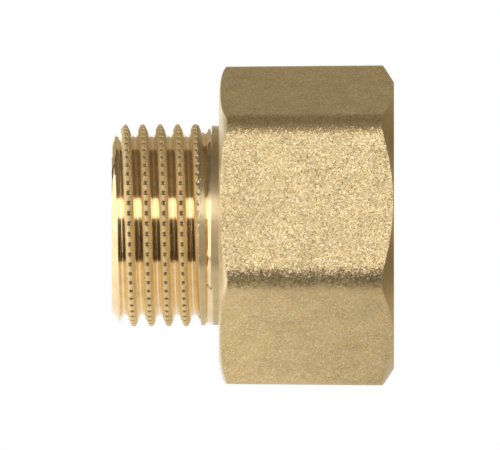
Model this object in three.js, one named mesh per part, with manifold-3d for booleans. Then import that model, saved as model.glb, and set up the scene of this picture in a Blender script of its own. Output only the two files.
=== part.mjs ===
// Reducing coupling: one brass forging, split into the zones that the maker forges, turns, bores and threads.
// Millimetres. The axis is X, with the male end at -X and the female end at +X. The part lies on a flat of
// its hexagon, so +Z is up and the origin is the middle of the part.

import * as THREE from 'three';
import { mergeVertices } from 'three/addons/utils/BufferGeometryUtils.js';
import Module from 'manifold-3d';

const wasm = await Module();
wasm.setup();

// ---------------------------------------------------------------- driving dimensions

const LENGTH = 29.32; // over both end faces
const HEX_LENGTH = 18.2; // from the shoulder face to the female end face
const ACROSS_FLATS = 30;
const CORNER_ROUND = 3.4; // forging radius on the hexagon's six edges

// 55 degree parallel pipe threads, right-handed. Both sizes have 14 turns to the inch.
const PITCH = 25.4 / 14;
const FLANK_ANGLE = THREE.MathUtils.degToRad(27.5);
const THREAD_DEPTH = 0.640327 * PITCH;
const MALE_MAJOR = 20.955 / 2; // G 1/2, crest radius
const FEMALE_MAJOR = 26.441 / 2; // G 3/4, root radius in the wall
const MALE_CREST_X = -13.27; // a crest passes this x at MALE_START_ANGLE
const MALE_START_ANGLE = THREE.MathUtils.degToRad(67.5);
const MALE_LEAD_IN = 9.1; // radius of the male end face

const COLLAR_RADIUS = 10.35; // plain collar between the thread and the shoulder
const COLLAR_LENGTH = 0.88;
const GROOVE_RADIUS = 9.7; // floor of the groove where the thread runs out
const GROOVE_TO_SHOULDER = 1.66;
const RUNOUT_LENGTH = 2.2; // groove, cone and collar together

const SHOULDER_FACE_RADIUS = 13.1; // flat shoulder face, then the rounded chamfer
const SHOULDER_LENGTH = 1.2; // the hexagon is full from here on
const RIM_FACE_RADIUS = 14.85; // outer edge of the female end face
const RIM_LENGTH = 1.32; // length of the chamfer cone on the female side
const HEX_CORNER_RADIUS = 16.9; // a little outside the rounded corners

const SOCKET_DEPTH = 14.5;
const SOCKET_ENTRY_RADIUS = 13.6; // mouth of the 45 degree entry chamfer
const THREAD_WALL_RADIUS = 13.9; // where the threaded wall meets the hexagon's wall
const BORE_RADIUS = 7.5;

const SEGMENTS = 48; // facets round a turned surface and steps in one thread turn
const CUT_OVERRUN = 2; // how far a cutter runs past the metal

const MALE_FACE_X = -LENGTH / 2;
const FEMALE_FACE_X = LENGTH / 2;
const SHOULDER_FACE_X = FEMALE_FACE_X - HEX_LENGTH;
const HEX_START_X = SHOULDER_FACE_X + SHOULDER_LENGTH;
const RIM_X = FEMALE_FACE_X - RIM_LENGTH;
const RUNOUT_X = SHOULDER_FACE_X - RUNOUT_LENGTH;
const SOCKET_FLOOR_X = FEMALE_FACE_X - SOCKET_DEPTH;
const MALE_MINOR = MALE_MAJOR - THREAD_DEPTH;
const FEMALE_MINOR = FEMALE_MAJOR - THREAD_DEPTH;
const THREAD_CREST_FLAT = PITCH - 2 * (THREAD_DEPTH + 0.160082 * PITCH) * Math.tan(FLANK_ANGLE);

// ---------------------------------------------------------------- solids

function solid(geometry) {
  const bare = geometry.clone();
  bare.deleteAttribute('normal');
  bare.deleteAttribute('uv');
  const merged = mergeVertices(bare, 1e-5);
  return new wasm.Manifold(
    new wasm.Mesh({
      numProp: 3,
      vertProperties: new Float32Array(merged.attributes.position.array),
      triVerts: new Uint32Array(merged.index.array),
    }),
  );
}

function geometryOf(manifold) {
  const mesh = manifold.getMesh();
  const geometry = new THREE.BufferGeometry();
  geometry.setAttribute('position', new THREE.BufferAttribute(mesh.vertProperties, mesh.numProp));
  geometry.setIndex(new THREE.BufferAttribute(mesh.triVerts, 1));
  const flat = geometry.toNonIndexed();
  flat.computeVertexNormals();
  return flat;
}

// A turned solid about X. The outline lists [x, radius] round the section: along the outside towards +X,
// then back along the inside, or back along the axis when the solid has no bore.
function turned(outline) {
  const points = outline.map(([x, radius]) => new THREE.Vector2(radius, x));
  if (outline[0][1] > 0) points.push(points[0].clone());
  const geometry = new THREE.LatheGeometry(points, SEGMENTS);
  geometry.rotateZ(-Math.PI / 2);
  return solid(geometry);
}

function disc(fromX, toX, radius) {
  return turned([[fromX, 0], [fromX, radius], [toX, radius], [toX, 0]]);
}

// The hexagon's outline, with a flat on top and below and its corners rounded, drawn from X to X.
function hexPrism(fromX, toX) {
  const roundCentre = (ACROSS_FLATS / 2 - CORNER_ROUND) / Math.cos(Math.PI / 6);
  const shape = new THREE.Shape();
  for (let corner = 0; corner < 6; corner += 1) {
    const angle = (corner * Math.PI) / 3;
    shape.absarc(
      roundCentre * Math.cos(angle),
      roundCentre * Math.sin(angle),
      CORNER_ROUND,
      angle - Math.PI / 6,
      angle + Math.PI / 6,
      false,
    );
  }
  const geometry = new THREE.ExtrudeGeometry(shape, {
    depth: toX - fromX,
    bevelEnabled: false,
    curveSegments: 6,
  });
  geometry.rotateY(Math.PI / 2);
  geometry.rotateX(Math.PI / 2);
  geometry.translate(fromX, 0, 0);
  return solid(geometry);
}

// A helical rib: a straight bar of the thread's section, bent round X. Radius grows along the section's
// first axis, and the bar's length counts turns.
function helicalRib({ baseRadius, baseWidth, tipRadius, tipWidth, startX, startAngle, turns }) {
  const section = new THREE.Shape([
    new THREE.Vector2(baseRadius, -baseWidth / 2),
    new THREE.Vector2(tipRadius, -tipWidth / 2),
    new THREE.Vector2(tipRadius, tipWidth / 2),
    new THREE.Vector2(baseRadius, baseWidth / 2),
  ]);
  const bar = new THREE.ExtrudeGeometry(section, {
    depth: turns,
    steps: Math.round(turns * SEGMENTS),
    bevelEnabled: false,
  });
  const place = bar.attributes.position;
  for (let i = 0; i < place.count; i += 1) {
    const radius = place.getX(i);
    const turn = place.getZ(i);
    const angle = startAngle + turn * 2 * Math.PI;
    place.setXYZ(
      i,
      startX + place.getY(i) + turn * PITCH,
      radius * Math.cos(angle),
      radius * Math.sin(angle),
    );
  }
  const rib = solid(bar);
  if (rib.volume() > 0) return rib;
  return solid(flipped(bar));
}

function flipped(geometry) {
  const turnedOut = geometry.index ? geometry.toNonIndexed() : geometry.clone();
  const place = turnedOut.attributes.position;
  const held = new THREE.Vector3();
  const other = new THREE.Vector3();
  for (let i = 0; i < place.count; i += 3) {
    held.fromBufferAttribute(place, i + 1);
    other.fromBufferAttribute(place, i + 2);
    place.setXYZ(i + 1, other.x, other.y, other.z);
    place.setXYZ(i + 2, held.x, held.y, held.z);
  }
  return turnedOut;
}

// ---------------------------------------------------------------- zones

const throughBore = disc(MALE_FACE_X - CUT_OVERRUN, FEMALE_FACE_X + CUT_OVERRUN, BORE_RADIUS);

function maleThread() {
  const sunk = 0.2; // the rib stands this deep in the core
  const rib = helicalRib({
    baseRadius: MALE_MINOR - sunk,
    baseWidth: THREAD_CREST_FLAT + 2 * (THREAD_DEPTH + sunk) * Math.tan(FLANK_ANGLE),
    tipRadius: MALE_MAJOR,
    tipWidth: THREAD_CREST_FLAT,
    startX: MALE_CREST_X - 2 * PITCH,
    startAngle: MALE_START_ANGLE,
    turns: 8,
  });
  const chamferEnd = MALE_FACE_X + MALE_MAJOR - MALE_LEAD_IN;
  const blank = turned([
    [MALE_FACE_X, 0],
    [MALE_FACE_X, MALE_LEAD_IN],
    [chamferEnd, MALE_MAJOR],
    [RUNOUT_X, MALE_MAJOR],
    [RUNOUT_X, 0],
  ]);
  const core = disc(MALE_FACE_X, RUNOUT_X, MALE_MINOR);
  return core.add(rib).intersect(blank).subtract(throughBore);
}

function threadRunout() {
  return turned([
    [RUNOUT_X, MALE_MINOR],
    [SHOULDER_FACE_X - GROOVE_TO_SHOULDER, GROOVE_RADIUS],
    [SHOULDER_FACE_X - COLLAR_LENGTH, COLLAR_RADIUS],
    [HEX_START_X, COLLAR_RADIUS],
    [HEX_START_X, BORE_RADIUS],
    [RUNOUT_X, BORE_RADIUS],
  ]);
}

// A ring round the root of the collar. Its chamfer is rounded: a quarter of an ellipse from the face to the
// full hexagon.
function hexShoulder() {
  const steps = 5;
  const outline = [[SHOULDER_FACE_X, 0]];
  for (let step = 0; step <= steps; step += 1) {
    const angle = (step / steps) * (Math.PI / 2);
    outline.push([
      SHOULDER_FACE_X + SHOULDER_LENGTH * (1 - Math.cos(angle)),
      SHOULDER_FACE_RADIUS + (HEX_CORNER_RADIUS - SHOULDER_FACE_RADIUS) * Math.sin(angle),
    ]);
  }
  outline.push([HEX_START_X, 0]);
  const collar = disc(SHOULDER_FACE_X - CUT_OVERRUN, HEX_START_X + CUT_OVERRUN, COLLAR_RADIUS);
  return hexPrism(SHOULDER_FACE_X, HEX_START_X).intersect(turned(outline)).subtract(collar);
}

function stopShoulder() {
  return disc(HEX_START_X, SOCKET_FLOOR_X, THREAD_WALL_RADIUS).subtract(throughBore);
}

function hexBody() {
  const hollow = disc(HEX_START_X - CUT_OVERRUN, RIM_X + CUT_OVERRUN, THREAD_WALL_RADIUS);
  return hexPrism(HEX_START_X, RIM_X).subtract(hollow);
}

// What the drill, the chamfering tool and the thread tool take out of the female end.
function socketCutter() {
  const sunk = 0.2;
  const groove = helicalRib({
    baseRadius: FEMALE_MINOR - sunk,
    baseWidth: THREAD_CREST_FLAT + 2 * (THREAD_DEPTH + sunk) * Math.tan(FLANK_ANGLE),
    tipRadius: FEMALE_MAJOR,
    tipWidth: THREAD_CREST_FLAT,
    startX: SOCKET_FLOOR_X + PITCH,
    startAngle: 0,
    turns: 9,
  });
  const drilled = disc(SOCKET_FLOOR_X - CUT_OVERRUN, FEMALE_FACE_X + CUT_OVERRUN, FEMALE_MINOR);
  const entry = turned([
    [FEMALE_FACE_X - SOCKET_ENTRY_RADIUS, 0],
    [FEMALE_FACE_X + CUT_OVERRUN, SOCKET_ENTRY_RADIUS + CUT_OVERRUN],
    [FEMALE_FACE_X + CUT_OVERRUN, 0],
  ]);
  return drilled.add(groove).add(entry);
}

function femaleThread(cutter) {
  return disc(SOCKET_FLOOR_X, RIM_X, THREAD_WALL_RADIUS).subtract(cutter);
}

function femaleRim(cutter) {
  const chamferSlope = (HEX_CORNER_RADIUS - RIM_FACE_RADIUS) / RIM_LENGTH;
  const cone = turned([
    [RIM_X - CUT_OVERRUN, 0],
    [RIM_X - CUT_OVERRUN, HEX_CORNER_RADIUS + CUT_OVERRUN * chamferSlope],
    [FEMALE_FACE_X, RIM_FACE_RADIUS],
    [FEMALE_FACE_X, 0],
  ]);
  return hexPrism(RIM_X, FEMALE_FACE_X).intersect(cone).subtract(cutter);
}

// ---------------------------------------------------------------- the scene graph

function brass(color, roughness) {
  return new THREE.MeshStandardMaterial({ color, roughness, metalness: 1 });
}

const socket = socketCutter();
const zones = [
  ['male_thread', maleThread(), brass('#d9b984', 0.22)],
  ['thread_runout', threadRunout(), brass('#cfae78', 0.25)],
  ['hex_shoulder', hexShoulder(), brass('#c6a871', 0.35)],
  ['hex_body', hexBody(), brass('#b9a06c', 0.55)],
  ['female_rim', femaleRim(socket), brass('#c6a871', 0.35)],
  ['female_thread', femaleThread(socket), brass('#d9b984', 0.25)],
  ['stop_shoulder', stopShoulder(), brass('#cfae78', 0.3)],
];

const group = new THREE.Group();
for (const [name, shape, material] of zones) {
  const mesh = new THREE.Mesh(geometryOf(shape), material);
  mesh.name = name;
  group.add(mesh);
}

export default group;
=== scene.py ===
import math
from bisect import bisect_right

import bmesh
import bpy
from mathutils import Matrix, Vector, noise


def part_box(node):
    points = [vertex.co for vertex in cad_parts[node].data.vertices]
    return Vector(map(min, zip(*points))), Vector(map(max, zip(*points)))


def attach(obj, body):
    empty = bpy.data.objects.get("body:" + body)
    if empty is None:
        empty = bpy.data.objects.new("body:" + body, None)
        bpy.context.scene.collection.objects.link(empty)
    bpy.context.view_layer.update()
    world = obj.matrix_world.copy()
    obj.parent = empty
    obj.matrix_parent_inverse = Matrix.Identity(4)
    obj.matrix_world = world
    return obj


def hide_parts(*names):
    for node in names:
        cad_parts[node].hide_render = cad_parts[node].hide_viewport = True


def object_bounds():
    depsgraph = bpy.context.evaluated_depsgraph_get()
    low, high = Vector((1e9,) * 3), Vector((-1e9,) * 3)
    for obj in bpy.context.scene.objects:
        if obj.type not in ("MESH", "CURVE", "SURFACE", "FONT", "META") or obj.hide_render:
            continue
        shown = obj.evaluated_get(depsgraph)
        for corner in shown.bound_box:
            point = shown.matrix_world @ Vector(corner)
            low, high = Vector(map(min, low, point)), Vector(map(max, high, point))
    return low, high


bl_info = {
    "name": "Reducing coupling",
    "version": (1, 0, 0),
    "blender": (4, 5, 0),
    "location": "3D View > Sidebar > Coupling",
    "description": "Builds a forged brass reducing coupling: hexagon, chamfers, threads and bore",
    "category": "Add Mesh",
}

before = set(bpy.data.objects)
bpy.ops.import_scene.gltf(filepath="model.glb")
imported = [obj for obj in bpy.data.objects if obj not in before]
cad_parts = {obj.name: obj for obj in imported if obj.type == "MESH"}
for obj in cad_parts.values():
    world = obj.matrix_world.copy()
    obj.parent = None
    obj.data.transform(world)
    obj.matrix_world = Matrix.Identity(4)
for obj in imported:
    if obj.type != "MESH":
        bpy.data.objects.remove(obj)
CAD_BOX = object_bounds()

MM = 0.001
TURN = 2 * math.pi

# The coupling lies on a flat of its hexagon. X is its axis, with the male end at -X, and angles turn round
# it from +Y to +Z. Its places along the axis and its outer radii come from the frame's own boxes.
MALE_FACE_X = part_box("male_thread")[0].x
THREAD_END_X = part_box("male_thread")[1].x
SHOULDER_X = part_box("hex_shoulder")[0].x
HEX_START_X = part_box("hex_shoulder")[1].x
RIM_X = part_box("female_rim")[0].x
FEMALE_FACE_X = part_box("female_rim")[1].x
SOCKET_FLOOR_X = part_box("female_thread")[0].x
MALE_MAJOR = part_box("male_thread")[1].z
COLLAR_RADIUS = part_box("thread_runout")[1].z
HALF_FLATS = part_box("hex_body")[1].z

# The 55 degree pipe thread's own proportions, as parts of its pitch.
THREAD_DEPTH = 0.640327
THREAD_ROUND = 0.137329


def linear(hex_colour):
    """An sRGB hex colour as linear numbers."""
    parts = [int(hex_colour[i : i + 2], 16) / 255 for i in (1, 3, 5)]
    return tuple(p / 12.92 if p <= 0.04045 else ((p + 0.055) / 1.055) ** 2.4 for p in parts)


def length(name, description, millimetres, **settings):
    """A length property, given in millimetres and held in metres."""
    return bpy.props.FloatProperty(
        name=name,
        description=description,
        default=millimetres * MM,
        unit="LENGTH",
        precision=5,
        **settings,
    )


def colour(name, description, hex_colour):
    """A colour property, given as an sRGB hex colour and held as linear numbers."""
    return bpy.props.FloatVectorProperty(
        name=name,
        description=description,
        subtype="COLOR",
        size=3,
        min=0,
        max=1,
        default=linear(hex_colour),
    )


# ------------------------------------------------------------------------------------------ settings


class CouplingThreads(bpy.types.PropertyGroup):
    """The two pipe threads, both of 14 turns to the inch and both right-handed."""

    pitch: length("Pitch", "From one crest to the next, on both threads", 25.4 / 14)
    flank: bpy.props.FloatProperty(
        name="Flank angle",
        description="Half of the thread's angle",
        subtype="ANGLE",
        default=math.radians(27.5),
    )
    first_crest: length("First crest", "From the male end face to a crest straight above the axis", 1.5)
    lead_in: length("Lead-in radius", "Radius of the male end face inside its chamfer", 9.0)
    lead_in_length: length("Lead-in length", "Along the axis, from the end face to the full thread", 1.4)
    female_major: length("Female major radius", "Radius of the female thread's roots", 13.2205)
    entry: length("Socket mouth radius", "Radius where the entry chamfer meets the end face", 13.6)
    columns: bpy.props.IntProperty(
        name="Steps in a turn",
        description="Steps round the male thread, a whole number of them for each notch",
        default=720,
        min=60,
    )


class CouplingRunout(bpy.types.PropertyGroup):
    """The last turn of the male thread, where the tool draws back out of the metal."""

    start: bpy.props.FloatProperty(
        name="Start",
        description="Where the tool starts to draw back",
        subtype="ANGLE",
        default=math.radians(69.45),
    )
    fading: bpy.props.FloatProperty(
        name="Fading",
        description="Turn over which most of the draw-back is done",
        subtype="ANGLE",
        default=math.radians(50),
    )
    last_crest: length("Last crest", "From the shoulder face back to the last crest, at the start", 2.46)
    blank_end: length("Blank's end", "From the shoulder face back to where the full diameter ends", 2.16)
    collar_start: length("Collar's start", "From the shoulder face back to the collar before the cut", 1.46)
    start_left: length("Floor at the start", "From the shoulder face back to its male side", 1.82)
    rest_left: length("Floor at rest", "From the shoulder face back to its male side", 1.12)
    start_right: length("Floor's other side", "From the shoulder face back to it, at the start", 1.51)
    lead: length("Lead", "How far the floor's shoulder side moves in the turn", 0.65)
    start_floor: length("Floor radius at the start", "Where the draw-back starts", 9.7)
    rest_floor: length("Floor radius at rest", "Where the draw-back is done", 10.12)
    low_root: length("Low root", "Radius of the last root where it starts to rise", 9.3)
    high_root: length("High root", "Radius of the last root where it is lost", 9.58)
    early_rise: bpy.props.FloatProperty(
        name="Early rise", description="Slope on the floor's male side, a quarter turn on", default=1.92
    )
    late_rise: bpy.props.FloatProperty(
        name="Late rise", description="Slope on the floor's male side, half a turn on", default=0.8
    )
    steep: bpy.props.FloatProperty(
        name="Steep cone", description="Rise of the cone over its length, before the pass ends", default=0.5
    )
    shallow: bpy.props.FloatProperty(
        name="Shallow cone", description="Rise of the cone over its length, after the pass ends", default=0.36
    )
    pass_end: bpy.props.FloatProperty(
        name="End of the pass",
        description="Turn from the start to where a pass ends and leaves a sliver of metal",
        subtype="ANGLE",
        default=math.radians(129.4),
    )


class CouplingNotches(bpy.types.PropertyGroup):
    """The pits rolled into the male crests, which hold the sealing hemp or tape."""

    count: bpy.props.IntProperty(
        name="Notches in a turn", description="Pits round one turn of the crest", default=60, min=1
    )
    first: bpy.props.FloatProperty(
        name="First notch", description="Angle of one notch", subtype="ANGLE", default=math.radians(2.45)
    )
    width: length("Width", "Across a pit, along the axis", 0.66)
    span: length("Span", "Across a pit, round the thread", 0.56)
    depth: length("Depth", "From the crest to the floor of a pit", 0.3)
    rim: length("Rim", "How far the metal is pushed up round a pit", 0.03)
    after: length("Clear of the end face", "From the male end face to the first full notches", 1.26)
    before: length("Clear of the shoulder", "From the shoulder face back to the last full notches", 2.46)


class CouplingHexagon(bpy.types.PropertyGroup):
    """The forged hexagon and the chamfers turned on its two ends."""

    corner_round: length("Corner radius", "Forging radius on the six long edges", 3.4)
    shoulder_face: length("Shoulder face radius", "Outer edge of the flat shoulder face", 13.1)
    shoulder_top: length("Shoulder chamfer top", "Radius where the rounded chamfer runs out", 16.7)
    rim_face: length("Rim face radius", "Outer edge of the flat female end face", 14.85)
    rim_top: length("Rim chamfer top", "Radius where the straight chamfer runs out", 16.9)
    edge: length("Edge", "Round left between the forged skin and the male side's chamfer", 0.18)
    draft: length("Draft", "How much lower the flats are at the male side than at the rim", 0.13)
    grid: length("Grid", "Size of the mesh on the forged flats", 0.15)
    grain: length("Grain", "Size of the dimples that the shot leaves", 0.3)
    grain_depth: length("Grain depth", "Depth of those dimples", 0.006)


class CouplingBore(bpy.types.PropertyGroup):
    """The bore and the bottom of the socket."""

    radius: length("Bore radius", "Radius of the through bore", 7.5)
    edge: length("Edge break", "Chamfer on the bore's two edges", 0.35)
    wall: length("Lining radius", "Outer radius of the threaded lining, inside the hexagon", 13.6)
    steps: bpy.props.IntProperty(
        name="Steps in a turn", description="Steps round a turned surface", default=360, min=48
    )


class CouplingFinish(bpy.types.PropertyGroup):
    """Colours of the brass."""

    forged: colour("Forged brass", "Shot-blasted skin of the forging", "#D8BD87")
    glint_paint: colour("Painted glint colour", "Facets painted pale to stand in for white glints", "#FFF3D6")
    # painted highlight: a near-white colour that stands in for white glints on the forged skin
    turned: colour("Turned brass", "Rim, bore and web, from the lathe", "#E4C386")
    faced: colour("Faced brass", "Shoulder ring, paler from a finer cut", "#F0DEB8")
    collar: colour("Collar's brass", "Collar, darker from a coarser cut", "#E6D3A9")
    cut: colour("Cut brass", "Threads, bright from the cutting tool", "#F0D6A8")
    bruised: colour("Bruised brass", "Crests that the notching wheel has rolled over", "#F0D8A4")


class CouplingStudio(bpy.types.PropertyGroup):
    """The camera and the lights."""

    elevation: bpy.props.FloatProperty(
        name="Camera height", description="Angle over the table", subtype="ANGLE", default=math.radians(20.55)
    )
    view_width: length("View width", "Width that the camera takes in, without perspective", 51.9)
    distance: length("Camera distance", "From the part's middle to the camera", 300)
    aim: length("Aim", "How far the camera looks towards the male end from the middle", 0.29)
    raised: length("Raised", "How far over the axis the camera looks", 0.04)
    paper: bpy.props.FloatProperty(
        name="Paper", description="Brightness of the lit paper under the part", default=0.76, min=0
    )
    paper_front: length("Paper's front edge", "From the axis to the paper's edge on the camera's side", 36)
    room: colour("Room", "What the unlit room gives back to the metal", "#4A4640")


SETTINGS = {
    "coupling_threads": CouplingThreads,
    "coupling_runout": CouplingRunout,
    "coupling_notches": CouplingNotches,
    "coupling_hexagon": CouplingHexagon,
    "coupling_bore": CouplingBore,
    "coupling_finish": CouplingFinish,
    "coupling_studio": CouplingStudio,
}


# ------------------------------------------------------------------------------------------ shapes


def between(points, x):
    """The second number of points at x, on straight lines from point to point."""
    places = [p[0] for p in points]
    i = min(max(bisect_right(places, x) - 1, 0), len(points) - 2)
    (x0, y0), (x1, y1) = points[i], points[i + 1]
    share = min(max((x - x0) / (x1 - x0), 0), 1)
    return y0 + (y1 - y0) * share


def fade(value, start, end):
    """1 before start, 0 after end, and smooth between them."""
    share = min(max((value - start) / (end - start), 0), 1)
    return 1 - share * share * (3 - 2 * share)


def steps(start, end, count):
    """count + 1 numbers from start to end."""
    return [start + (end - start) * i / count for i in range(count + 1)]


def loft(name, angles, outline_at, material, slot, *nodes, crease=35):
    """A closed ring round X that stands for the CAD nodes. outline_at(angle) gives the outline of its
    section there, as (x, radius) points, and the last angle is one whole turn after the first."""
    rows = [outline_at(angle) for angle in angles]
    count = len(rows[0])
    points = [
        (x, radius * math.cos(angle), radius * math.sin(angle))
        for angle, row in zip(angles, rows)
        for x, radius in row
    ]
    faces = [
        (a * count + i, a * count + (i + 1) % count, (a + 1) * count + (i + 1) % count, (a + 1) * count + i)
        for a in range(len(rows) - 1)
        for i in range(count)
    ]
    mesh = bpy.data.meshes.new(name)
    mesh.from_pydata(points, [], faces)
    shape = bmesh.new()
    shape.from_mesh(mesh)
    bmesh.ops.remove_doubles(shape, verts=shape.verts, dist=0.001 * MM)
    bmesh.ops.recalc_face_normals(shape, faces=shape.faces)
    shape.to_mesh(mesh)
    shape.free()
    mesh.shade_smooth()
    mesh.set_sharp_from_angle(angle=math.radians(crease))
    mesh.materials.append(material)
    piece = bpy.data.objects.new(name, mesh)
    bpy.context.scene.collection.objects.link(piece)
    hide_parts(*nodes)
    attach(piece, "root")
    return piece


def thread_drop(offset, threads):
    """How far a rounded 55 degree thread lies below its crest, at this distance along the axis."""
    pitch, lean = threads.pitch, threads.flank
    round_radius = THREAD_ROUND * pitch
    full = THREAD_DEPTH * pitch
    edge = round_radius * math.cos(lean)
    away = abs(offset - round(offset / pitch) * pitch)
    if away < edge:
        return round_radius - math.sqrt(round_radius**2 - away**2)
    if away > pitch / 2 - edge:
        return full - round_radius + math.sqrt(round_radius**2 - (pitch / 2 - away) ** 2)
    return round_radius * (1 - math.sin(lean)) + (away - edge) / math.tan(lean)


def crest_at(angle, threads):
    """Where along X a male crest passes this angle."""
    return MALE_FACE_X + threads.first_crest + threads.pitch * (angle - TURN / 4) / TURN


def notch_depth(x, angle, drop, threads, notches):
    """How much lower the notches leave the crest, less the metal that they push up."""
    pitch = threads.pitch
    offset = x - crest_at(angle, threads)
    along = offset - round(offset / pitch) * pitch
    step = TURN / notches.count
    turned = (angle - notches.first) / step
    around = (turned - round(turned)) * step * MALE_MAJOR
    reach = math.hypot(along / (notches.width / 2), around / (notches.span / 2))
    first, coming = MALE_FACE_X + notches.after, 0.3 * MM
    last, going = SHOULDER_X - notches.before, 0.55 * MM
    there = (1 - fade(x, first - coming, first)) * fade(x, last, last + going)
    pit = max(notches.depth * (1 - reach**2) - drop, 0)
    rim_reach, rim_width = 1.15, 0.3
    pushed = notches.rim * math.exp(-(((reach - rim_reach) / rim_width) ** 2))
    return there * (pit - pushed)


def drawn_back(x, turned, runout):
    """Radius that the tool leaves at x, this far round from where it starts to draw back: a floor, a rise
    towards the male side, and a cone towards the shoulder that has another slope after the pass ends."""
    still = math.exp(-max(turned, 0) / runout.fading)
    floor = runout.rest_floor - (runout.rest_floor - runout.start_floor) * still
    left = SHOULDER_X - runout.rest_left - (runout.start_left - runout.rest_left) * still
    right = SHOULDER_X - runout.start_right + runout.lead * max(turned, 0) / TURN
    rise = between([(TURN / 4, runout.early_rise), (TURN / 2, runout.late_rise)], turned)
    cone = runout.steep if turned < runout.pass_end else runout.shallow
    before_start, after_start, at_the_end = 1, 0.35, 1.4  # how much steeper the cone is there
    cone += before_start * fade(turned, -TURN / 6, 0)
    cone += after_start * fade(turned, 0, TURN / 6)
    cone += at_the_end * (1 - fade(turned, 0.68 * TURN, TURN))
    return floor + max(left - x, 0) * rise + max(x - right, 0) * cone


def burr(x, turned, runout):
    """A sliver of metal left across the cone, with a nick beside it, where a pass of the tool ends."""
    start, end = SHOULDER_X - 1.41 * MM, SHOULDER_X - 0.66 * MM
    if not start < x < end:
        return 0
    width, height = 0.07 * MM, 0.07 * MM
    nick_depth, nick_away = 0.13 * MM, 1.8  # the nick is this many widths to the side
    share = (x - start) / (end - start)
    slant = math.radians(4.3) * (share - 0.5)
    away = (turned - runout.pass_end - slant) * COLLAR_RADIUS / width
    sliver = height * math.exp(-(away**2))
    nick = nick_depth * math.exp(-((away + nick_away) ** 2))
    return math.sqrt(math.sin(math.pi * share)) * (sliver - nick)


def male_blank(x, threads, runout):
    """Radius of the male end before it is threaded, from the end face to the shoulder."""
    edge_length, edge_rise = 0.12 * MM, 0.2 * MM
    outline = [
        (MALE_FACE_X, threads.lead_in),
        (MALE_FACE_X + edge_length, threads.lead_in + edge_rise),
        (MALE_FACE_X + threads.lead_in_length, MALE_MAJOR),
        (SHOULDER_X - runout.blank_end, MALE_MAJOR),
        (SHOULDER_X - runout.collar_start, COLLAR_RADIUS),
        (HEX_START_X, COLLAR_RADIUS),
    ]
    return between(outline, x)


def male_radius(x, angle, threads, notches, runout):
    """Radius of the male end's outside at x: the blank, with the thread, the notches and the run-out's groove
    taken out of it."""
    pitch = threads.pitch
    turned = (angle - runout.start) % TURN
    rising, lost = 0.44 * TURN, 0.83 * TURN  # where the last root starts to rise, and where it is lost
    last_crest = SHOULDER_X - runout.last_crest + pitch * turned / TURN
    drop = thread_drop(x - last_crest, threads)
    on_last_crest = abs(x - last_crest) < 0.121 * pitch  # just inside the crest's round
    cut_end = last_crest - pitch if turned > lost else last_crest
    thread = MALE_MAJOR - drop
    if x > cut_end and not on_last_crest:
        thread = MALE_MAJOR
    elif x > last_crest - pitch and turned > rising:
        thread = max(thread, between([(rising, runout.low_root), (lost, runout.high_root)], turned))
    notched = thread - notch_depth(x, angle, drop, threads, notches)
    radius = min(male_blank(x, threads, runout), notched)
    into_cut, out_of_cut = -TURN / 6, 1.12 * TURN
    for tool in (turned - TURN, turned, turned + TURN):
        if into_cut <= tool <= out_of_cut:
            radius = min(radius, drawn_back(x, tool, runout))
    return radius + burr(x, turned, runout)


def hex_radius(angle, hexagon):
    """Radius of the hexagon's outline, which has a flat on top and rounded corners."""
    corner = (angle + TURN / 12) % (TURN / 6) - TURN / 12
    reach = (HALF_FLATS - hexagon.corner_round) / math.cos(TURN / 12)
    from_flat = TURN / 12 - abs(corner)
    flat = HALF_FLATS / math.cos(from_flat)
    if flat * math.sin(from_flat) < (HALF_FLATS - hexagon.corner_round) * math.tan(TURN / 12):
        return flat
    side = reach * math.sin(corner)
    return reach * math.cos(corner) + math.sqrt(hexagon.corner_round**2 - side**2)


# ------------------------------------------------------------------------------------------ outlines


def thread_samples(threads, first, last, crest_steps, flank_steps):
    """Distances along X from crest number 0, over these crests: close together on the rounds of the crests
    and the roots, and wider apart on the flanks."""
    pitch, lean = threads.pitch, threads.flank
    edge = THREAD_ROUND * pitch * math.cos(lean)
    marks = steps(-edge, edge, crest_steps)
    marks += steps(edge, pitch / 2 - edge, flank_steps)[1:-1]
    marks += steps(pitch / 2 - edge, pitch / 2 + edge, crest_steps)
    marks += steps(pitch / 2 + edge, pitch - edge, flank_steps)[1:-1]
    return [turn * pitch + mark for turn in range(first, last + 1) for mark in marks]


def male_outline(angle, threads, notches, runout, bore, samples):
    """Section of the threaded spigot: its outside, then back along the bore."""
    crest = crest_at(angle, threads)
    places = [min(max(crest + sample, MALE_FACE_X), THREAD_END_X) for sample in samples]
    outside = [(x, male_radius(x, angle, threads, notches, runout)) for x in places]
    inside = [
        (THREAD_END_X, bore.radius),
        (MALE_FACE_X + bore.edge, bore.radius),
        (MALE_FACE_X, bore.radius + bore.edge),
    ]
    return outside + inside


def runout_outline(angle, threads, notches, runout, bore, places):
    """Section of the run-out and the collar, with a root that goes into the shoulder ring."""
    outside = [(x, male_radius(x, angle, threads, notches, runout)) for x in places]
    root = [(SHOULDER_X, COLLAR_RADIUS), (HEX_START_X, COLLAR_RADIUS)]
    return outside + root + [(HEX_START_X, bore.radius), (THREAD_END_X, bore.radius)]


def shoulder_chamfer(hexagon):
    """The rounded chamfer's outline, a quarter of an ellipse from the shoulder face out past the corners."""
    depth, rise = HEX_START_X - SHOULDER_X, hexagon.shoulder_top - hexagon.shoulder_face
    return [
        (SHOULDER_X + depth * (1 - math.cos(a)), hexagon.shoulder_face + rise * math.sin(a))
        for a in steps(0, TURN / 4, 14)
    ]


def rim_chamfer(hexagon):
    """The straight chamfer's outline, from the end face out to where it passes the corners."""
    return [(RIM_X, hexagon.rim_top), (FEMALE_FACE_X, hexagon.rim_face)]


def crossing(outline, radius):
    """Where along X an outline reaches this radius."""
    return between(sorted((r, x) for x, r in outline), radius)


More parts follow.
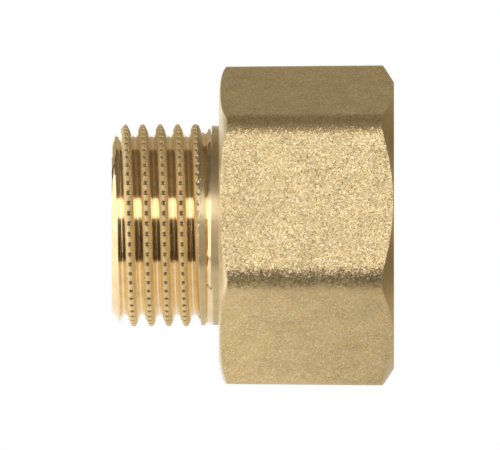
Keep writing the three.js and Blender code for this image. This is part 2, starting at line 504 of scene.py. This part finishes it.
def hex_ends(radius, hexagon):
    """The forged skin's two ends between the chamfers, as (x, radius) points, where the hexagon has this
    radius at the rim."""
    low = radius - hexagon.draft
    start = crossing(shoulder_chamfer(hexagon), low - hexagon.edge)
    return (start, low), (crossing(rim_chamfer(hexagon), radius), radius)


def hex_angles(hexagon):
    """Angles round the hexagon, one grid apart along its outline."""
    reach = (HALF_FLATS - hexagon.corner_round) / math.cos(TURN / 12)
    half_flat = reach * math.sin(TURN / 12)
    flat = [
        TURN / 12 + math.atan2(y, HALF_FLATS)
        for y in steps(-half_flat, half_flat, round(2 * half_flat / hexagon.grid))
    ]
    corner = []
    for turned in steps(-TURN / 12, TURN / 12, round(TURN / 6 * hexagon.corner_round / hexagon.grid))[1:-1]:
        across = reach + hexagon.corner_round * math.cos(turned)
        corner.append(TURN / 6 + math.atan2(hexagon.corner_round * math.sin(turned), across))
    sixth = flat + corner
    angles = [side * TURN / 6 + angle for side in range(6) for angle in sixth]
    return angles + [angles[0] + TURN]


def shot_marks(point, hexagon):
    """Height of the shot-blasted skin: shallow dimples over slow waves, kept under the plain hexagon. Real
    shot leaves dimples of about 0.1 mm, and they are made coarser to show."""
    elsewhere = Vector((7, 3, 5))
    dimples = min(noise.noise(point / hexagon.grain), 0.25)
    waves = noise.noise(point / (hexagon.grain * 3.1) + elsewhere)
    return hexagon.grain_depth * (0.7 * dimples + 0.4 * waves - 0.55)


def hex_outline(angle, hexagon, bore, rows):
    """Section of the hexagon: its forged skin, then back along the lining."""
    (start, low), (end, high) = hex_ends(hex_radius(angle, hexagon), hexagon)
    inner = start + hexagon.edge
    calm = 0.25 * MM  # the shot's marks fade out this near the two chamfers
    skin = [
        (inner - hexagon.edge * math.cos(a), low - hexagon.edge * (1 - math.sin(a)))
        for a in steps(0, TURN / 4, 5)[:-1]
    ]
    for x, radius in zip(steps(inner, end, rows), steps(low, high, rows)):
        point = Vector((x, radius * math.cos(angle), radius * math.sin(angle)))
        marked = 1 - fade(min(x - inner, end - x), 0, calm)
        skin.append((x, radius + shot_marks(point, hexagon) * marked))
    return skin + [(RIM_X, bore.wall), (HEX_START_X, bore.wall)]


def shoulder_outline(angle, hexagon, bore):
    """Section of the shoulder ring: the collar's seat, the face and the chamfer."""
    (start, low), _ = hex_ends(hex_radius(angle, hexagon), hexagon)
    top = low - hexagon.edge
    whole = shoulder_chamfer(hexagon)
    chamfer = [(x, r) for x, r in whole if r < top]
    chamfer += [(start, top)] * (len(whole) - len(chamfer))
    seat = [(HEX_START_X, bore.wall), (HEX_START_X, COLLAR_RADIUS), (SHOULDER_X, COLLAR_RADIUS)]
    return chamfer + seat


def rim_outline(angle, hexagon, bore):
    """Section of the rim: the chamfer, its broken edge and the end face."""
    _, end = hex_ends(hex_radius(angle, hexagon), hexagon)
    edge = 0.06 * MM
    slope = (hexagon.rim_top - hexagon.rim_face) / (FEMALE_FACE_X - RIM_X)
    places = steps(end[0], FEMALE_FACE_X - edge, 4)
    chamfer = [(x, hexagon.rim_face + (FEMALE_FACE_X - x) * slope) for x in places]
    face = [(FEMALE_FACE_X, hexagon.rim_face - edge), (FEMALE_FACE_X, bore.wall), (RIM_X, bore.wall)]
    return chamfer + face


def female_outline(angle, threads, bore, samples):
    """Section of the threaded lining: its outside, then back along the thread inside."""
    groove = SOCKET_FLOOR_X + threads.pitch * (1 + angle / TURN)
    places = [min(max(groove + sample, SOCKET_FLOOR_X), FEMALE_FACE_X) for sample in samples]
    inside = []
    for x in places:
        entry = threads.entry - (FEMALE_FACE_X - x)
        thread = threads.female_major - thread_drop(x - groove, threads)
        inside.append((x, max(entry, thread)))
    short = 0.02 * MM  # the outside stops just short of the end face, and the rim covers its end
    outside = [(SOCKET_FLOOR_X, bore.wall), (FEMALE_FACE_X - short, bore.wall)]
    return outside + inside[::-1]


def stop_outline(bore):
    """Section of the web between the bore and the socket, with its edge broken."""
    return [
        (HEX_START_X, bore.radius),
        (HEX_START_X, bore.wall),
        (SOCKET_FLOOR_X, bore.wall),
        (SOCKET_FLOOR_X, bore.radius + bore.edge),
        (SOCKET_FLOOR_X - bore.edge, bore.radius),
    ]


# ------------------------------------------------------------------------------------------ materials


def node(tree, kind, settings=None, **links):
    """Adds a node. settings holds its own settings and its sockets' values; links joins its inputs, by
    name with _ for a space, to other nodes' outputs."""
    made = tree.nodes.new(kind)
    for key, value in (settings or {}).items():
        if isinstance(key, int) or key in made.inputs:
            made.inputs[key].default_value = value
        else:
            setattr(made, key, value)
    for key, output in links.items():
        slot = int(key[1:]) if key[0] == "_" else key.replace("_", " ")
        tree.links.new(output, made.inputs[slot])
    return made


def new_material(name):
    """An empty node material and its tree."""
    made = bpy.data.materials.get(name) or bpy.data.materials.new(name)
    made.use_nodes = True
    made.node_tree.nodes.clear()
    return made, made.node_tree


def place_and_radius(tree):
    """The object's own place in metres, and its distance from X, as outputs."""
    place = node(tree, "ShaderNodeTexCoord").outputs["Object"]
    parts = node(tree, "ShaderNodeSeparateXYZ", Vector=place)
    across = node(tree, "ShaderNodeCombineXYZ", Y=parts.outputs["Y"], Z=parts.outputs["Z"])
    radius = node(tree, "ShaderNodeVectorMath", {"operation": "LENGTH"}, Vector=across.outputs[0])
    return place, parts.outputs["X"], radius.outputs["Value"]


def forged_brass(finish):
    """Brass, hot-forged and shot-blasted: a matt skin of small facets. Each leans its own way and is
    smoother or rougher than the next, over slow patches that are a little darker. A few facets are painted
    near white, a painted highlight that stands in for white glints. Real shot leaves marks of 0.1 mm and
    less, and they are drawn at 0.14 mm to show."""
    made, tree = new_material("shot_blasted_forged_brass")
    place, _, _ = place_and_radius(tree)
    facets = node(tree, "ShaderNodeTexVoronoi", {"Scale": 1 / (0.14 * MM)}, Vector=place)
    lean = node(
        tree,
        "ShaderNodeVectorMath",
        {"operation": "SUBTRACT", 1: (0.5, 0.5, 0.5)},
        _0=facets.outputs["Color"],
    )
    outward = node(tree, "ShaderNodeNewGeometry").outputs["Normal"]
    leaning = node(
        tree,
        "ShaderNodeVectorMath",
        {"operation": "MULTIPLY_ADD", 1: (0.32, 0.32, 0.32)},
        _0=lean.outputs[0],
        _2=outward,
    )
    facing = node(tree, "ShaderNodeVectorMath", {"operation": "NORMALIZE"}, _0=leaning.outputs[0])
    fine = node(tree, "ShaderNodeTexNoise", {"Scale": 1 / (0.13 * MM), "Detail": 2.0}, Vector=place)
    bump = node(
        tree,
        "ShaderNodeBump",
        {"Strength": 1.0, "Distance": 0.01 * MM},
        Height=fine.outputs["Fac"],
        Normal=facing.outputs[0],
    )
    chance = node(tree, "ShaderNodeSeparateColor", Color=facets.outputs["Color"])
    rough = node(
        tree,
        "ShaderNodeMapRange",
        {"From Min": 0.0, "From Max": 1.0, "To Min": 0.34, "To Max": 0.54},
        Value=chance.outputs["Green"],
    )
    patches = node(tree, "ShaderNodeTexNoise", {"Scale": 1 / (2.5 * MM), "Detail": 3.0}, Vector=place)
    both = node(
        tree,
        "ShaderNodeMath",
        {"operation": "MULTIPLY_ADD", 1: 0.8},
        _0=chance.outputs["Red"],
        _2=patches.outputs["Fac"],
    )
    shade = node(
        tree,
        "ShaderNodeMapRange",
        {"From Min": 0.4, "From Max": 1.4, "To Min": 0.76, "To Max": 1.18},
        Value=both.outputs[0],
    )
    tint = node(
        tree,
        "ShaderNodeVectorMath",
        {"operation": "SCALE", 0: tuple(finish.forged)},
        Scale=shade.outputs[0],
    )
    # a few facets, picked at random, are mixed toward a near-white colour: painted highlight for white glints
    glint_share = node(
        tree,
        "ShaderNodeMapRange",
        {"From Min": 0.75, "From Max": 1.0, "To Min": 0.0, "To Max": 0.45},
        Value=chance.outputs["Blue"],
    )
    glinted = node(
        tree,
        "ShaderNodeMix",
        {"data_type": "RGBA", 7: (*finish.glint_paint, 1.0)},
        _0=glint_share.outputs[0],
        _6=tint.outputs[0],
    )
    shader = node(
        tree,
        "ShaderNodeBsdfPrincipled",
        {"Metallic": 1.0},
        Base_Color=glinted.outputs[2],
        Roughness=rough.outputs[0],
        Normal=bump.outputs[0],
    )
    node(tree, "ShaderNodeOutputMaterial", Surface=shader.outputs[0])
    return made


def painted_pit_shade(tree, shade, radius):
    """The shade, darkened on the floors of the notches as painted shade. There the metal lies just under the
    crest and still faces outwards, which a flank at the same radius does not."""
    floor, crest, roots = MALE_MAJOR - 0.17 * MM, MALE_MAJOR - 0.06 * MM, MALE_MAJOR - 0.5 * MM
    outward = node(tree, "ShaderNodeNewGeometry").outputs["Normal"]
    facing = node(tree, "ShaderNodeSeparateXYZ", Vector=outward)
    sideways = node(tree, "ShaderNodeMath", {"operation": "ABSOLUTE"}, _0=facing.outputs["X"])
    outwards = node(
        tree,
        "ShaderNodeMapRange",
        {"From Min": 0.35, "From Max": 0.6, "To Min": 1.0, "To Max": 0.0},
        Value=sideways.outputs[0],
    )
    sunk = node(
        tree,
        "ShaderNodeMapRange",
        {"From Min": floor, "From Max": crest, "To Min": 0.6, "To Max": 0.0},
        Value=radius,
    )
    lost = node(
        tree, "ShaderNodeMath", {"operation": "MULTIPLY"}, _0=outwards.outputs[0], _1=sunk.outputs[0]
    )
    above_roots = node(tree, "ShaderNodeMath", {"operation": "GREATER_THAN", 1: roots}, _0=radius)
    taken = node(
        tree, "ShaderNodeMath", {"operation": "MULTIPLY"}, _0=lost.outputs[0], _1=above_roots.outputs[0]
    )
    kept = node(tree, "ShaderNodeMath", {"operation": "SUBTRACT", 0: 1.0}, _1=taken.outputs[0])
    return node(
        tree, "ShaderNodeMath", {"operation": "MULTIPLY"}, _0=shade.outputs[0], _1=kept.outputs[0]
    )


def dulled(tree, radius, base, rough, dull):
    """The metal's colour and roughness where it goes dull from one radius out to another, as outputs.
    dull holds the dull colour, its roughness and the two radii."""
    colour, roughness, inner, outer = dull
    outwards = node(
        tree,
        "ShaderNodeMapRange",
        {"From Min": inner, "From Max": outer, "To Min": 0.0, "To Max": 1.0},
        Value=radius,
    )
    metal = node(
        tree,
        "ShaderNodeMix",
        {"data_type": "RGBA", 6: (*base, 1.0), 7: (*colour, 1.0)},
        _0=outwards.outputs[0],
    )
    matt = node(tree, "ShaderNodeMath", {"operation": "MULTIPLY", 1: roughness}, _0=outwards.outputs[0])
    roughest = node(tree, "ShaderNodeMath", {"operation": "MAXIMUM"}, _0=rough, _1=matt.outputs[0])
    return metal.outputs[2], roughest.outputs[0]


def lathe_brass(name, base, rough, mark, depth, stretch=0.8, dull=None, pits=False):
    """Brass cut on a lathe. Rings round X, mark apart, hold the tool's feed marks: a bright surface with
    fine lines that follow the turning and stretch its highlights along X. rough holds the least and the
    most roughness."""
    made, tree = new_material(name)
    place, x, radius = place_and_radius(tree)
    along = node(tree, "ShaderNodeMath", {"operation": "ADD"}, _0=x, _1=radius)
    rings = node(
        tree,
        "ShaderNodeTexNoise",
        {"noise_dimensions": "1D", "Scale": 1 / mark, "Detail": 2.0},
        W=along.outputs[0],
    )
    smears = node(tree, "ShaderNodeTexNoise", {"Scale": 1 / (1.3 * MM), "Detail": 3.0}, Vector=place)
    shade = node(
        tree,
        "ShaderNodeMapRange",
        {"From Min": 0.3, "From Max": 0.7, "To Min": 0.9, "To Max": 1.04},
        Value=smears.outputs["Fac"],
    )
    # pits darkens the colour on the notches' floors: painted shade
    if pits:
        shade = painted_pit_shade(tree, shade, radius)
    smooth = node(
        tree,
        "ShaderNodeMapRange",
        {"From Min": 0.3, "From Max": 0.7, "To Min": rough[0], "To Max": rough[1]},
        Value=smears.outputs["Fac"],
    )
    tint = node(
        tree, "ShaderNodeVectorMath", {"operation": "SCALE", 0: tuple(base)}, Scale=shade.outputs[0]
    )
    bump = node(
        tree, "ShaderNodeBump", {"Strength": 0.5, "Distance": depth}, Height=rings.outputs["Fac"]
    )
    round_x = node(tree, "ShaderNodeTangent", {"direction_type": "RADIAL", "axis": "X"})
    shader = node(
        tree,
        "ShaderNodeBsdfPrincipled",
        {"Metallic": 1.0, "Anisotropic": stretch, "Anisotropic Rotation": 0.25},
        Base_Color=tint.outputs[0],
        Roughness=smooth.outputs[0],
        Normal=bump.outputs[0],
        Tangent=round_x.outputs[0],
    )
    if dull:
        metal, roughest = dulled(tree, radius, base, smooth.outputs[0], dull)
        tree.links.new(metal, tint.inputs[0])
        tree.links.new(roughest, shader.inputs["Roughness"])
    node(tree, "ShaderNodeOutputMaterial", Surface=shader.outputs[0])
    return made


def turned_brass(finish):
    """Brass turned on the lathe, for the rim, the bore and the web. Real feed marks are 0.1 mm apart and
    are drawn 0.2 mm apart, to show."""
    return lathe_brass("turned_brass", finish.turned, (0.42, 0.52), 0.2 * MM, 0.006 * MM)


def faced_brass(finish):
    """Brass faced with a finer cut, for the shoulder ring: paler and a little brighter."""
    return lathe_brass("faced_brass", finish.faced, (0.32, 0.42), 0.2 * MM, 0.005 * MM)


def runout_brass(finish):
    """Brass of the thread's run-out: the cone is bright from the threading tool, and the collar beside it
    matt, with the marks of a coarser turning."""
    collar = (finish.collar, 0.5, COLLAR_RADIUS - 0.07 * MM, COLLAR_RADIUS - 0.01 * MM)
    return lathe_brass("runout_brass", finish.cut, (0.12, 0.2), 0.2 * MM, 0.006 * MM, 0.95, collar)


def cut_brass(finish):
    """Brass with a thread cut in it: the same metal, brighter, with fainter lines along the thread."""
    return lathe_brass("thread_cut_brass", finish.cut, (0.1, 0.17), 0.12 * MM, 0.002 * MM)


def notched_brass(finish):
    """The male thread's brass: bright in the roots, and matt on the crests and the upper flanks, which the
    notching wheel has bruised. The floors of the notches are darkened with painted shade."""
    crests = (finish.bruised, 0.75, MALE_MAJOR - 0.76 * MM, MALE_MAJOR - 0.48 * MM)
    return lathe_brass(
        "notched_thread_brass", finish.cut, (0.1, 0.17), 0.12 * MM, 0.002 * MM, 0.3, crests, pits=True
    )


# ------------------------------------------------------------------------------------------ operators


class CouplingOperator:
    """What the coupling's operators share."""

    bl_options = {"REGISTER", "UNDO"}


class COUPLING_OT_male_thread(CouplingOperator, bpy.types.Operator):
    """Cut the male thread, with its lead-in chamfer and the notches in its crests"""

    bl_idname = "coupling.male_thread"
    bl_label = "Male thread"

    def execute(self, context):
        scene = context.scene
        threads, notches = scene.coupling_threads, scene.coupling_notches
        runout, bore = scene.coupling_runout, scene.coupling_bore
        samples = thread_samples(threads, first=-3, last=5, crest_steps=8, flank_steps=3)
        loft(
            "male_thread_cut",
            steps(0, TURN, threads.columns),
            lambda angle: male_outline(angle, threads, notches, runout, bore, samples),
            notched_brass(scene.coupling_finish),
            "thread_brass",
            "male_thread",
            crease=50,
        )
        return {"FINISHED"}


class COUPLING_OT_runout(CouplingOperator, bpy.types.Operator):
    """Turn the run-out, its cone and the collar"""

    bl_idname = "coupling.runout"
    bl_label = "Run-out and collar"

    def execute(self, context):
        scene = context.scene
        threads, notches = scene.coupling_threads, scene.coupling_notches
        runout, bore = scene.coupling_runout, scene.coupling_bore
        places = steps(THREAD_END_X, SHOULDER_X, 40)
        loft(
            "thread_runout_cut",
            steps(0, TURN, threads.columns),
            lambda angle: runout_outline(angle, threads, notches, runout, bore, places),
            runout_brass(scene.coupling_finish),
            "machined_brass",
            "thread_runout",
        )
        return {"FINISHED"}


class COUPLING_OT_hex_shoulder(CouplingOperator, bpy.types.Operator):
    """Face the shoulder and turn the rounded chamfer on the hexagon's male side"""

    bl_idname = "coupling.hex_shoulder"
    bl_label = "Shoulder ring"

    def execute(self, context):
        scene = context.scene
        hexagon, bore = scene.coupling_hexagon, scene.coupling_bore
        loft(
            "hex_shoulder_turned",
            hex_angles(hexagon),
            lambda angle: shoulder_outline(angle, hexagon, bore),
            faced_brass(scene.coupling_finish),
            "machined_brass",
            "hex_shoulder",
        )
        return {"FINISHED"}


class COUPLING_OT_hex_body(CouplingOperator, bpy.types.Operator):
    """Forge the hexagon, with its shot-blasted skin"""

    bl_idname = "coupling.hex_body"
    bl_label = "Forged hexagon"

    def execute(self, context):
        scene = context.scene
        hexagon, bore = scene.coupling_hexagon, scene.coupling_bore
        rows = round((RIM_X - HEX_START_X) / hexagon.grid)
        loft(
            "hex_body_forged",
            hex_angles(hexagon),
            lambda angle: hex_outline(angle, hexagon, bore, rows),
            forged_brass(scene.coupling_finish),
            "forged_brass",
            "hex_body",
            crease=60,
        )
        return {"FINISHED"}


class COUPLING_OT_female_rim(CouplingOperator, bpy.types.Operator):
    """Turn the chamfer and the end face on the female side"""

    bl_idname = "coupling.female_rim"
    bl_label = "Female rim"

    def execute(self, context):
        scene = context.scene
        hexagon, bore = scene.coupling_hexagon, scene.coupling_bore
        loft(
            "female_rim_turned",
            hex_angles(hexagon),
            lambda angle: rim_outline(angle, hexagon, bore),
            turned_brass(scene.coupling_finish),
            "machined_brass",
            "female_rim",
        )
        return {"FINISHED"}


class COUPLING_OT_female_thread(CouplingOperator, bpy.types.Operator):
    """Cut the female thread and its entry chamfer"""

    bl_idname = "coupling.female_thread"
    bl_label = "Female thread"

    def execute(self, context):
        scene = context.scene
        threads, bore = scene.coupling_threads, scene.coupling_bore
        samples = thread_samples(threads, first=-3, last=8, crest_steps=5, flank_steps=2)
        loft(
            "female_thread_cut",
            steps(0, TURN, bore.steps),
            lambda angle: female_outline(angle, threads, bore, samples),
            cut_brass(scene.coupling_finish),
            "thread_brass",
            "female_thread",
            crease=50,
        )
        return {"FINISHED"}


class COUPLING_OT_stop_shoulder(CouplingOperator, bpy.types.Operator):
    """Bore the web at the bottom of the socket"""

    bl_idname = "coupling.stop_shoulder"
    bl_label = "Stop shoulder"

    def execute(self, context):
        scene = context.scene
        bore = scene.coupling_bore
        outline = stop_outline(bore)
        loft(
            "stop_shoulder_bored",
            steps(0, TURN, bore.steps),
            lambda angle: outline,
            turned_brass(scene.coupling_finish),
            "machined_brass",
            "stop_shoulder",
        )
        return {"FINISHED"}


def softbox(name, away, reach, width, tall, brightness, tint=(1, 1, 1)):
    """An area light that looks back at the part from reach metres away along away. brightness is what the
    metal sees in it, where a white sheet is 1."""
    data = bpy.data.lights.new(name, "AREA")
    data.shape = "RECTANGLE"
    data.size = width
    data.size_y = tall
    data.energy = brightness * math.pi * width * tall
    data.color = tint
    light = bpy.data.objects.new(name, data)
    light.location = away * reach
    light.rotation_mode = "QUATERNION"
    light.rotation_quaternion = away.to_track_quat("Z", "Y")
    light.visible_camera = False
    bpy.context.scene.collection.objects.link(light)


def overhead(elevation):
    """The direction this far round, from the table on the camera's side over the top to the back."""
    return Vector((0, -math.cos(elevation), math.sin(elevation)))


class COUPLING_OT_studio(CouplingOperator, bpy.types.Operator):
    """Set the camera, the lit paper under the part, the lights and the room"""

    bl_idname = "coupling.studio"
    bl_label = "Studio"

    def execute(self, context):
        studio = context.scene.coupling_studio
        self.set_camera(context, studio)
        self.lay_paper(studio)
        self.light()
        self.dim_room(context, studio)
        return {"FINISHED"}

    def set_camera(self, context, studio):
        data = bpy.data.cameras.new("camera")
        data.type = "ORTHO"
        data.ortho_scale = studio.view_width
        camera = bpy.data.objects.new("camera", data)
        back = overhead(studio.elevation)
        middle = (CAD_BOX[0] + CAD_BOX[1]) / 2 + Vector((-studio.aim, 0, studio.raised))
        camera.location = middle + back * studio.distance
        camera.rotation_mode = "QUATERNION"
        camera.rotation_quaternion = back.to_track_quat("Z", "Y")
        context.scene.collection.objects.link(camera)
        context.scene.camera = camera

    def lay_paper(self, studio):
        """White paper that the camera sees as plain white. The metal sees it brighter under the male end."""
        floor = CAD_BOX[0].z
        side, back = 900 * MM, 900 * MM
        front = -studio.paper_front
        corners = [(-side, front, floor), (side, front, floor), (side, back, floor), (-side, back, floor)]
        mesh = bpy.data.meshes.new("paper")
        mesh.from_pydata(corners, [], [(0, 1, 2, 3)])
        made, tree = new_material("lit_white_paper")
        place = node(tree, "ShaderNodeTexCoord").outputs["Object"]
        x = node(tree, "ShaderNodeSeparateXYZ", Vector=place).outputs["X"]
        strength = node(
            tree,
            "ShaderNodeMapRange",
            {
                "From Min": -40 * MM,
                "From Max": 50 * MM,
                "To Min": studio.paper * 1.75,
                "To Max": studio.paper * 0.4,
            },
            Value=x,
        )
        glow = node(
            tree, "ShaderNodeEmission", {"Color": (1.0, 1.0, 1.0, 1.0)}, Strength=strength.outputs[0]
        )
        white = node(tree, "ShaderNodeEmission", {"Color": (1.0, 1.0, 1.0, 1.0), "Strength": 1.0})
        seen = node(tree, "ShaderNodeLightPath").outputs["Is Camera Ray"]
        both = node(tree, "ShaderNodeMixShader", _0=seen, _1=glow.outputs[0], _2=white.outputs[0])
        node(tree, "ShaderNodeOutputMaterial", Surface=both.outputs[0])
        mesh.materials.append(made)
        paper = bpy.data.objects.new("paper", mesh)
        bpy.context.scene.collection.objects.link(paper)

    def light(self):
        """Four softboxes. The key lights the front flat and the bright line along the thread, the back one
        the top flat, and the other two the chamfers at either end."""
        reach = 400 * MM
        daylight = (0.95, 1.0, 1.12)
        lamplight = (1.0, 0.97, 0.84)
        softbox("key_softbox", overhead(math.radians(43)), reach, 0.7, 0.18, 2.25, daylight)
        softbox("back_softbox", overhead(math.radians(158)), reach, 0.9, 0.31, 0.38, lamplight)
        left = Vector((-1, -0.25, 0.15)).normalized()
        right = Vector((1, -0.15, 0.3)).normalized()
        softbox("left_softbox", left, reach, 0.8, 0.42, 1.5)
        softbox("right_softbox", right, reach, 0.6, 0.34, 0.35)

    def dim_room(self, context, studio):
        """A room that the camera sees as plain white, and the metal as dim, with a paler ceiling."""
        world = bpy.data.worlds.new("room")
        world.use_nodes = True
        tree = world.node_tree
        tree.nodes.clear()
        seen = node(tree, "ShaderNodeLightPath").outputs["Is Camera Ray"]
        way = node(tree, "ShaderNodeTexCoord").outputs["Generated"]
        up = node(tree, "ShaderNodeSeparateXYZ", Vector=way).outputs["Z"]
        ceiling = node(
            tree,
            "ShaderNodeMapRange",
            {"From Min": 0.4, "From Max": 0.9, "To Min": 1.0, "To Max": 3.0},
            Value=up,
        )
        room = node(
            tree, "ShaderNodeBackground", {"Color": (*studio.room, 1.0)}, Strength=ceiling.outputs[0]
        )
        white = node(tree, "ShaderNodeBackground", {"Color": (1.0, 1.0, 1.0, 1.0)})
        both = node(tree, "ShaderNodeMixShader", _0=seen, _1=room.outputs[0], _2=white.outputs[0])
        node(tree, "ShaderNodeOutputWorld", Surface=both.outputs[0])
        context.scene.world = world
        context.scene.view_settings.view_transform = "Standard"


class COUPLING_PT_panel(bpy.types.Panel):
    """The coupling's pieces and settings"""

    bl_label = "Reducing coupling"
    bl_idname = "COUPLING_PT_panel"
    bl_space_type = "VIEW_3D"
    bl_region_type = "UI"
    bl_category = "Coupling"

    def draw(self, context):
        for operator in OPERATORS:
            self.layout.operator(operator.bl_idname)
        for name, group in SETTINGS.items():
            box = self.layout.box()
            box.label(text=group.__name__)
            for key in group.__annotations__:
                box.prop(getattr(context.scene, name), key)


OPERATORS = [
    COUPLING_OT_male_thread,
    COUPLING_OT_runout,
    COUPLING_OT_hex_shoulder,
    COUPLING_OT_hex_body,
    COUPLING_OT_female_rim,
    COUPLING_OT_female_thread,
    COUPLING_OT_stop_shoulder,
    COUPLING_OT_studio,
]
CLASSES = [*SETTINGS.values(), *OPERATORS, COUPLING_PT_panel]


def register():
    for made in CLASSES:
        bpy.utils.register_class(made)
    for name, group in SETTINGS.items():
        setattr(bpy.types.Scene, name, bpy.props.PointerProperty(type=group))


def unregister():
    for name in SETTINGS:
        delattr(bpy.types.Scene, name)
    for made in reversed(CLASSES):
        bpy.utils.unregister_class(made)


def main():
    register()
    bpy.ops.coupling.male_thread()
    bpy.ops.coupling.runout()
    bpy.ops.coupling.hex_shoulder()
    bpy.ops.coupling.hex_body()
    bpy.ops.coupling.female_rim()
    bpy.ops.coupling.female_thread()
    bpy.ops.coupling.stop_shoulder()
    bpy.ops.coupling.studio()


if __name__ == "__main__":
    main()
